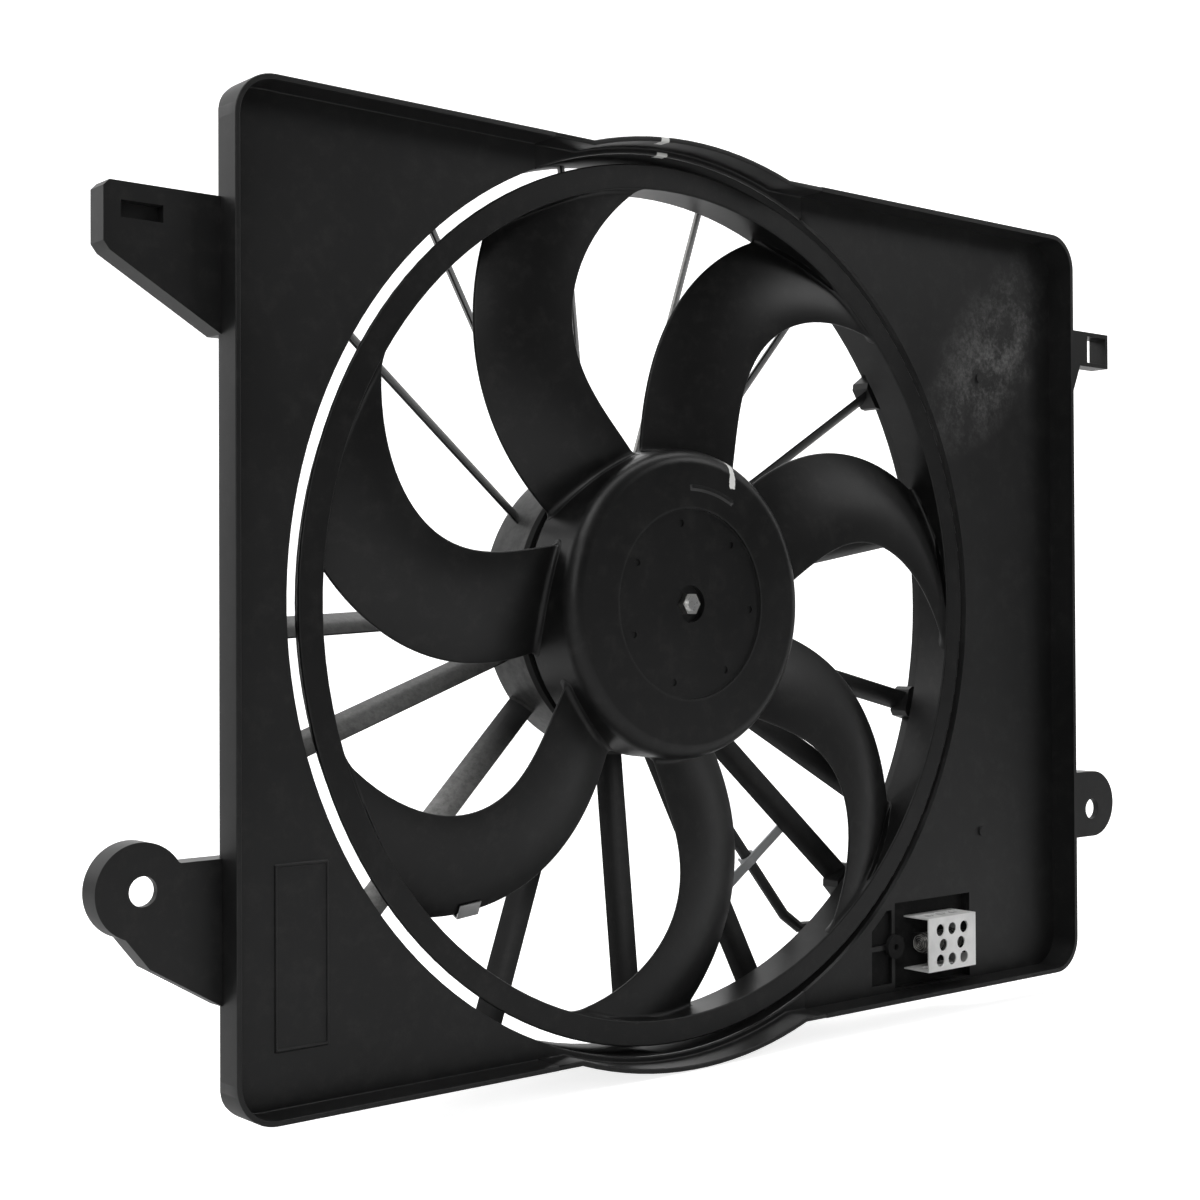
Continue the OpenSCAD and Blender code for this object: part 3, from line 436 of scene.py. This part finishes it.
def dust_on_panel(s):
    """Pale, broken dust in a slanting streak on the front of the panel's upper right."""
    at = s.place()
    right = s.calc("SUBTRACT", at.x, DUST_X)
    up = s.calc("SUBTRACT", at.z, DUST_Z)
    along = s.times(s.calc("ADD", right, up), 1 / DUST_ALONG)
    across = s.times(s.calc("SUBTRACT", right, up), 1 / DUST_ACROSS)
    cloud = s.remap(s.length(along, across), 1.0, 0.0, start=0.1, end=1.25)
    patches = s.remap(s.noise(55.0, detail=8.0, rough=0.8), 0.12, 1.0, start=0.44, end=0.6)
    specks = s.remap(s.noise(420.0, rough=0.7), 0.45, 1.0, start=0.4, end=0.62)
    fading = s.remap(at.x, 1.0, 0.3, *DUST_FADES)
    in_front = s.remap(s.normal()["Y"], 1.0, 0.0, start=-0.7, end=-0.2)
    amount = s.times(cloud, s.times(patches, specks), DUST_AMOUNT, fading, in_front)
    add_coat(s, amount, *COATS["dust"])


def wear_and_sheen_on_vanes(s):
    """Pale faces on the struts at the top and on the left, where they look up: scuffs, with a
    painted sheen from the lamps above.
    """
    at = s.place()
    normal = s.normal()
    # Faces that look up and left, towards the lamps above, get a painted sheen on top of the
    # scuffs
    looks_up_left = s.calc("SUBTRACT", normal["Z"], normal["X"])
    lit_side = s.remap(looks_up_left, 0.0, 1.0, start=0.2, end=0.7)
    top = s.within(at.angle, *SHEEN_AND_WEAR_TOP, soft=3.0)
    left = s.times(s.within(at.angle, *SHEEN_AND_WEAR_LEFT, soft=2.0), LEFT_SCUFF_AND_SHEEN_AMOUNT)
    low = s.times(s.within(at.angle, *SHEEN_AND_WEAR_LOW, soft=2.0),
                  s.remap(at.radius, 0.0, 1.0, *SHEEN_AND_WEAR_LOW_BEGINS))
    where = s.times(s.calc("ADD", s.calc("ADD", top, left), low),
                    s.within(at.radius, *SHEEN_AND_WEAR_RADII, soft=5.0),
                    s.remap(at.y, 0.0, 1.0, *SHEEN_AND_WEAR_DEPTH_BEGINS))
    streaks = s.remap(s.noise(240.0, detail=5.0, rough=0.75), 0.55, 1.0, start=0.36, end=0.6)
    add_coat(s, s.times(where, lit_side, streaks, SCUFF_AND_SHEEN_AMOUNT), *COATS["scuff_and_sheen"])


def tones_and_shade_on_carrier(s):
    """The motor's carrier is a mottled grey, with painted shade on its front edge that widens the
    dark gap behind the hub.
    """
    at = s.place()
    ring = s.within(at.radius, *CARRIER_RADII, soft=0.5)
    edge = s.remap(at.y, 1.0, 0.0, *CARRIER_SHADE_ENDS)
    side = s.remap(at.y, 0.0, 1.0, *CARRIER_SIDE_BEGINS)
    mottle = s.remap(s.noise(130.0, detail=5.0, rough=0.7), 0.4, 1.0, start=0.38, end=0.6)
    add_coat(s, s.times(ring, side, mottle, GREY_AMOUNT), *COATS["grey_side"])
    # Painted shade on the carrier's front edge, which widens the dark gap behind the hub
    add_coat(s, s.times(ring, edge), *COATS["painted_shade_edge"])


def paint_on_rim(s):
    """Dabs of white paint at the top of the rim's bulge and on the hole's edge below it."""
    at = s.place()
    on_rim = s.times(s.within(ragged(s, at.angle, 0.15), *RIM_DAB["angle"], soft=0.1),
                     s.within(at.radius, *RIM_DAB["radius"], soft=0.3),
                     s.within(at.y, *RIM_DAB["y"], soft=0.5))
    on_hole = s.times(s.within(ragged(s, at.angle, 0.15), *HOLE_DAB["angle"], soft=0.1),
                      s.within(at.radius, *HOLE_DAB["radius"], soft=0.5),
                      s.within(ragged(s, at.y, 0.5), *HOLE_DAB["y"], soft=0.5))
    add_coat(s, s.calc("ADD", on_rim, on_hole), *COATS["rim_paint"])


def marks_on_fan(s):
    """White paint on the hub's edge, painted light on the disc's steep edge, and a groove with
    painted shade in the hub's face.
    """
    at = s.place()
    front = s.within(at.y, *HUB_FRONT, soft=1.0)
    on_hub = s.times(s.within(ragged(s, at.x, 0.5), *HUB_DAB["x"], soft=0.3),
                     s.within(ragged(s, at.z, 0.8), *HUB_DAB["z"], soft=0.5))
    add_coat(s, s.times(on_hub, front), *COATS["hub_paint"])
    # Painted light on the disc's steep edge, which would otherwise render too dark
    lit_edge = s.within(at.radius, DISC_R - EDGE_LIGHT_HALF, DISC_R + EDGE_LIGHT_HALF, soft=0.6)
    add_coat(s, s.times(lit_edge, front, EDGE_LIGHT_AMOUNT), *COATS["painted_light_edge"])
    # The groove is darkened with painted shade as well as cut in by the bump
    groove = s.times(s.within(at.angle, *GROOVE["angle"], soft=1.4),
                     s.within(at.radius, *GROOVE["radius"], soft=1.7), front)
    add_coat(s, s.times(groove, GROOVE_SHADE_AMOUNT), *COATS["groove"])
    height = s.calc("SUBTRACT", 1.0, groove)
    s.put("Normal", s.bump(height, strength=1.0, depth=0.0022, under=s.source("Normal")))


def metal(name, colour, rough, grain_scale=400.0, metallic=1.0):
    """Bare or plated metal with fine streaks and stains."""
    s = Shader(name)
    streaks = s.noise(grain_scale, detail=4.0, rough=0.6)
    stains = s.noise(24.0, detail=4.0, rough=0.6)
    s.put("Base Color", s.ramp(stains, [(0.3, shaded(colour, 0.72)), (0.6, colour)]))
    s.put("Roughness", s.remap(streaks, rough - 0.08, rough + 0.12))
    s.put("Normal", s.bump(streaks, strength=0.12, depth=0.0001))
    s.put("Metallic", metallic)
    return s.mat


def matte(name, colour, rough):
    """Fired, sintered, moulded or rubbery matter."""
    s = Shader(name)
    grain = s.noise(500.0, detail=4.0, rough=0.6)
    patches = s.noise(30.0)
    s.put("Base Color", s.ramp(patches, [(0.3, shaded(colour, 0.8)), (0.7, colour)]))
    s.put("Roughness", s.remap(grain, rough - 0.08, rough + 0.08))
    s.put("Normal", s.bump(grain, strength=0.25, depth=0.0002))
    return s.mat


def wound_wire(name):
    """Turns of bright wire with dark gaps, along the resistor's axis and across its ends."""
    s = Shader(name)
    low, high = (Vector(corner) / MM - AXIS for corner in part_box("resistor_coil"))
    middle = (low + high) / 2
    at = s.place()
    from_core = s.length(s.calc("SUBTRACT", at.y, middle.y), s.calc("SUBTRACT", at.z, middle.z))
    turns = s.times(s.calc("ADD", ragged(s, at.x, 0.2), from_core), 2 * math.pi / WIRE_PITCH)
    wave = s.remap(s.calc("SINE", turns), 0.0, 1.0, start=-1.0, end=1.0)
    stains = s.remap(s.noise(260.0, detail=4.0, rough=0.6), 0.35, 1.0, start=0.35, end=0.62)
    gap, wire = (0.02, 0.02, 0.02), (0.5, 0.49, 0.46)
    s.put("Base Color", s.ramp(s.times(wave, stains), [(0.2, gap), (0.8, wire)]))
    s.put("Roughness", s.remap(stains, 0.55, 0.34))
    s.put("Normal", s.bump(wave, strength=0.8, depth=0.0006))
    s.put("Metallic", 0.6)
    return s.mat


def make_materials():
    plastics = {name: moulded_plastic(name, *values) for name, values in PLASTIC.items()}
    for add_marks in (dust_on_panel, wear_and_sheen_on_vanes, tones_and_shade_on_carrier, paint_on_rim):
        add_marks(plastics["moulding_black"])
    marks_on_fan(plastics["fan_black"])
    mats = {name: s.mat for name, s in plastics.items()}
    mats.update({name: metal(name, **values) for name, values in METALS.items()})
    mats.update({name: matte(name, *values) for name, values in MATTES.items()})
    mats["ceramic"] = wound_wire("ceramic")
    return mats


def dress_nodes(mats):
    for part in frame["record"]["subparts"]:
        obj = nodes[part["node"]]
        mat = mats[part["material_slot"]]
        if not obj.material_slots:
            obj.data.materials.append(mat)
        for slot in obj.material_slots:
            slot.material = mat


# Rounded edges
def seam_test(name):
    """Says whether an edge between two points, in mm from the fan axis, lies where nodes meet."""
    low, high = (Vector(corner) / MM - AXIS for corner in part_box(name))
    seams = {
        "panel_left": [(0, high.x)],
        "panel_right": [(0, low.x)],
        "panel_arcs": [(0, low.x), (0, high.x)],
        "barrel": [(1, low.y)],
    }.get(name, [])

    def test(a, b):
        return any(abs(a[axis] - value) < ON_PLANE and abs(b[axis] - value) < ON_PLANE
                   for axis, value in seams)

    return test


def sharp_edges(obj, is_seam):
    """The edges to round, each as the set of its two ends."""
    work = bmesh.new()
    work.from_mesh(obj.data)
    bmesh.ops.remove_doubles(work, verts=work.verts, dist=WELD)
    sharp = set()
    for edge in work.edges:
        if len(edge.link_faces) != 2 or edge.calc_face_angle(0.0) < math.radians(ROUNDED_FROM):
            continue
        a, b = (obj.matrix_world @ v.co / MM - AXIS for v in edge.verts)
        if not is_seam(a, b):
            sharp.add(frozenset(point_key(v.co) for v in edge.verts))
    work.free()
    return sharp


def point_key(point):
    return tuple(round(c * POINT_PARTS) for c in point)


def round_edges(name, width):
    """Bevels a node's sharp edges, but not those where it meets the next node."""
    obj = nodes[name]
    mesh = obj.data
    sharp = sharp_edges(obj, seam_test(name))
    weights = mesh.attributes.new("bevel_weight_edge", "FLOAT", "EDGE")
    for edge in mesh.edges:
        ends = frozenset(point_key(mesh.vertices[i].co) for i in edge.vertices)
        weights.data[edge.index].value = 1.0 if ends in sharp else 0.0
    weld = obj.modifiers.new("weld", "WELD")
    weld.merge_threshold = WELD
    if name not in PIERCED:
        flat = obj.modifiers.new("flat", "DECIMATE")
        flat.decimate_type = "DISSOLVE"
        flat.angle_limit = math.radians(JOINED_TO)
    bevel = obj.modifiers.new("bevel", "BEVEL")
    bevel.width = width * MM
    bevel.segments = BEVEL_STEPS
    bevel.limit_method = "WEIGHT"
    bevel.miter_outer = "MITER_ARC"
    smooth(obj)
    normals = obj.modifiers.new("normals", "WEIGHTED_NORMAL")
    normals.keep_sharp = True


def smooth(obj):
    obj.data.shade_smooth()
    obj.data.set_sharp_from_angle(angle=math.radians(SHARP_FROM))


def soften_nodes():
    for part in frame["record"]["subparts"]:
        name = part["node"]
        if name in ROUNDED:
            round_edges(name, ROUNDED[name])
        else:
            smooth(nodes[name])


# Blades, with rounded edges and fillets that the CAD loft leaves out
def span_curve(values, t):
    """A curve through a root, a middle and a tip value, at share t of the span."""
    root, mid, tip = values
    return root * (1 - t) * (1 - 2 * t) + 4 * mid * t * (1 - t) + tip * t * (2 * t - 1)


def rounding(radius, step):
    """How far in the points of a quarter circle lie, with a point each so many degrees."""
    return [radius * (1 - math.cos(math.radians(a))) for a in range(0, 91, step)]


def rows_of_blade():
    """Radii of the blade's sections, close together in the fillets at both ends."""
    steps = rounding(FILLET, FILLET_STEP)
    inner = [HUB_R + d for d in steps]
    outer = [BAND_R - d for d in reversed(steps)]
    span = outer[0] - inner[-1]
    middle = [inner[-1] + span * i / BLADE_ROWS for i in range(1, BLADE_ROWS)]
    return [HUB_R - SUNK] + inner + middle + outer + [BAND_R + SUNK]


def shares_of_chord(chord):
    """Places along a chord, close together in the rounded edges."""
    ends = [d / chord for d in rounding(BLADE_EDGE_T / 2, EDGE_STEP)]
    between = 1 - 2 * ends[-1]
    inside = [ends[-1] + between * (1 - math.cos(math.pi * i / CHORD_STEPS)) / 2
              for i in range(1, CHORD_STEPS)]
    return ends + inside + [1 - e for e in reversed(ends)]


def blade_section(radius):
    """The ring of a section, as points along the arc and the axis, both in mm."""
    t = (radius - HUB_R) / (BAND_R - HUB_R)
    t = min(max(t, 0.0), 1.0)
    start, end = (math.radians(span_curve(v, t)) * radius for v in (LEAD, TRAIL))
    front, rise = span_curve(LEAD_Y, t), span_curve(RISE, t)
    chord = abs(end - start)
    edge = BLADE_EDGE_T / 2
    upper, lower = [], []
    for s in shares_of_chord(chord):
        half = (BLADE_EDGE_T + (BLADE_T - BLADE_EDGE_T) * math.sin(math.pi * s)) / 2
        near = min(s, 1 - s) * chord
        if near < edge:
            half *= math.sqrt(max(0.0, 1 - (1 - near / edge) ** 2))
        u = start + (end - start) * s
        y = front + rise * s - CAMBER * 4 * s * (1 - s)
        upper.append(Vector((u, y - half)))
        lower.append(Vector((u, y + half)))
    return upper + lower[-2:0:-1]


def flared(ring, radius):
    """Widens a section near the hub and the band, and keeps it on their walls."""
    near = max(0.0, min(radius - HUB_R, BAND_R - radius))
    extra = 0.0
    if near < FILLET:
        extra = FILLET - math.sqrt(FILLET ** 2 - (FILLET - near) ** 2)
    if not extra:
        return [tuple(point) for point in ring]
    if radius < (HUB_R + BAND_R) / 2:
        low, high = BAND_FRONT + HUB_MARGIN, HUB_BACK - HUB_MARGIN
    else:
        low, high = BAND_FRONT + BAND_MARGIN, BAND_BACK - BAND_MARGIN
    out = []
    for i, point in enumerate(ring):
        way = ring[(i + 1) % len(ring)] - ring[i - 1]
        moved = point - Vector((way.y, -way.x)).normalized() * extra
        out.append((moved.x, min(max(moved.y, low), high)))
    return out


def make_blade(number, mat):
    turn = math.radians(360.0 / BLADES * (number - 1))
    verts, faces = [], []
    radii = rows_of_blade()
    for radius in radii:
        for u, y in flared(blade_section(radius), radius):
            a = u / radius + turn
            verts.append(at_axis(radius * math.sin(a), y, radius * math.cos(a)))
    ring = len(verts) // len(radii)
    for i in range(len(radii) - 1):
        for k in range(ring):
            n = (k + 1) % ring
            faces.append((i * ring + k, i * ring + n, (i + 1) * ring + n, (i + 1) * ring + k))
    faces.append(tuple(reversed(range(ring))))
    faces.append(tuple((len(radii) - 1) * ring + k for k in range(ring)))
    mesh = bpy.data.meshes.new("blade_%d" % number)
    mesh.from_pydata(verts, [], faces)
    mesh.materials.append(mat)
    work = bmesh.new()
    work.from_mesh(mesh)
    bmesh.ops.recalc_face_normals(work, faces=work.faces)
    work.to_mesh(mesh)
    work.free()
    mesh.shade_smooth()
    blade = bpy.data.objects.new("blade_%d" % number, mesh)
    bpy.context.collection.objects.link(blade)
    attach(blade, "rotor")
    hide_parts("fan_blade_%d" % number)


# Stage
def make_camera():
    yaw, pitch, roll = (math.radians(v) for v in (CAMERA_YAW, CAMERA_PITCH, CAMERA_ROLL))
    level = math.cos(pitch)
    ahead = Vector((math.sin(yaw) * level, math.cos(yaw) * level, math.sin(pitch)))
    right = Vector((math.cos(yaw), -math.sin(yaw), 0.0))
    up = right.cross(ahead)
    turned_right = right * math.cos(roll) + up * math.sin(roll)
    turned_up = up * math.cos(roll) - right * math.sin(roll)
    cam = bpy.data.objects.new("camera", bpy.data.cameras.new("camera"))
    bpy.context.collection.objects.link(cam)
    cam.data.lens = CAMERA_LENS
    cam.data.sensor_width = CAMERA_SENSOR
    cam.data.clip_end = CAMERA_REACH
    spin = Matrix((turned_right, turned_up, -ahead)).transposed().to_4x4()
    cam.matrix_world = Matrix.Translation((AXIS + CAMERA_AT) * MM) @ spin
    bpy.context.scene.camera = cam


def white_to_camera(s, level, glossy):
    """Adds a glow that only the camera sees, and reflections too where glossy is set."""
    path = s.add("ShaderNodeLightPath")
    seen = path.outputs["Is Camera Ray"]
    if glossy:
        seen = s.calc("MAXIMUM", seen, path.outputs["Is Glossy Ray"])
    glow = s.add("ShaderNodeEmission")
    glow.inputs["Color"].default_value = (1, 1, 1, 1)
    s.link(s.times(seen, level), glow.inputs["Strength"])
    total = s.add("ShaderNodeAddShader")
    s.link(s.bsdf.outputs["BSDF"], total.inputs[0])
    s.link(glow.outputs["Emission"], total.inputs[1])
    s.link(total.outputs["Shader"], s.tree.nodes["Material Output"].inputs["Surface"])


def stage_sheet(name, rows, level, glossy):
    """A wide sheet through rows of depth and height, square to the camera's view."""
    turn = Matrix.Rotation(-math.radians(CAMERA_YAW), 3, "Z")
    middle = at_axis(0, 0, 0)
    verts, faces = [], []
    for depth, height in rows:
        for side in (-SHEET_HALF_WIDTH, SHEET_HALF_WIDTH):
            p = turn @ Vector((side, depth, 0.0))
            verts.append((p.x + middle.x, p.y + middle.y, FLOOR_Z * MM + height))
    for i in range(len(rows) - 1):
        faces.append((2 * i, 2 * i + 1, 2 * i + 3, 2 * i + 2))
    mesh = bpy.data.meshes.new(name)
    mesh.from_pydata(verts, [], faces)
    mesh.shade_smooth()
    sheet = bpy.data.objects.new(name, mesh)
    bpy.context.collection.objects.link(sheet)
    s = Shader(name)
    s.put("Base Color", (SHEET_SHADE, SHEET_SHADE, SHEET_SHADE))
    s.put("Roughness", 0.9)
    s.put("Specular IOR Level", 0.0)
    white_to_camera(s, level, glossy)
    mesh.materials.append(s.mat)
    sheet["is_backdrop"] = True


def make_stage():
    """A pale floor that keeps the shadow, and a white backdrop that curves up behind it."""
    curve = [(FLOOR_BACK + BACKDROP_BEND * math.sin(math.radians(a)),
              BACKDROP_BEND * (1 - math.cos(math.radians(a))))
             for a in range(0, 91, BACKDROP_STEP)]
    top = (FLOOR_BACK + BACKDROP_BEND, BACKDROP_TOP)
    stage_sheet("floor", [(FLOOR_FRONT, 0.0), (FLOOR_BACK, 0.0)], FLOOR_GLOW, glossy=False)
    stage_sheet("backdrop", curve + [top], BACKDROP_GLOW, glossy=True)


def softbox(name, at, size, power):
    """A rectangular lamp that faces the fan."""
    light = bpy.data.lights.new(name, "AREA")
    light.shape = "RECTANGLE"
    light.size, light.size_y = size
    light.energy = power
    obj = bpy.data.objects.new(name, light)
    bpy.context.collection.objects.link(obj)
    obj.location = at
    obj.rotation_euler = (at_axis(0, 0, 0) - Vector(at)).to_track_quat("-Z", "Y").to_euler()


def make_world():
    """A faint white light from all round, which the camera sees as plain white."""
    world = bpy.data.worlds.new("world")
    world.use_nodes = True
    tree = world.node_tree
    back = tree.nodes["Background"]
    path = tree.nodes.new("ShaderNodeLightPath")
    level = tree.nodes.new("ShaderNodeMapRange")
    level.inputs["To Min"].default_value = WORLD_LIGHT
    level.inputs["To Max"].default_value = WORLD_SEEN
    tree.links.new(path.outputs["Is Camera Ray"], level.inputs["Value"])
    tree.links.new(level.outputs["Result"], back.inputs["Strength"])
    back.inputs["Color"].default_value = (1, 1, 1, 1)
    bpy.context.scene.world = world


def write_bounds(moment, store):
    low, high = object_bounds()
    store[moment] = [list(low), list(high)]


sizes = {}
write_bounds("loaded", sizes)
materials = make_materials()
dress_nodes(materials)
soften_nodes()
for number in range(1, BLADES + 1):
    make_blade(number, materials["fan_black"])
make_camera()
make_stage()
for name, values in SOFTBOXES.items():
    softbox(name, *values)
make_world()
bpy.context.scene.view_settings.view_transform = "Standard"
write_bounds("finished", sizes)
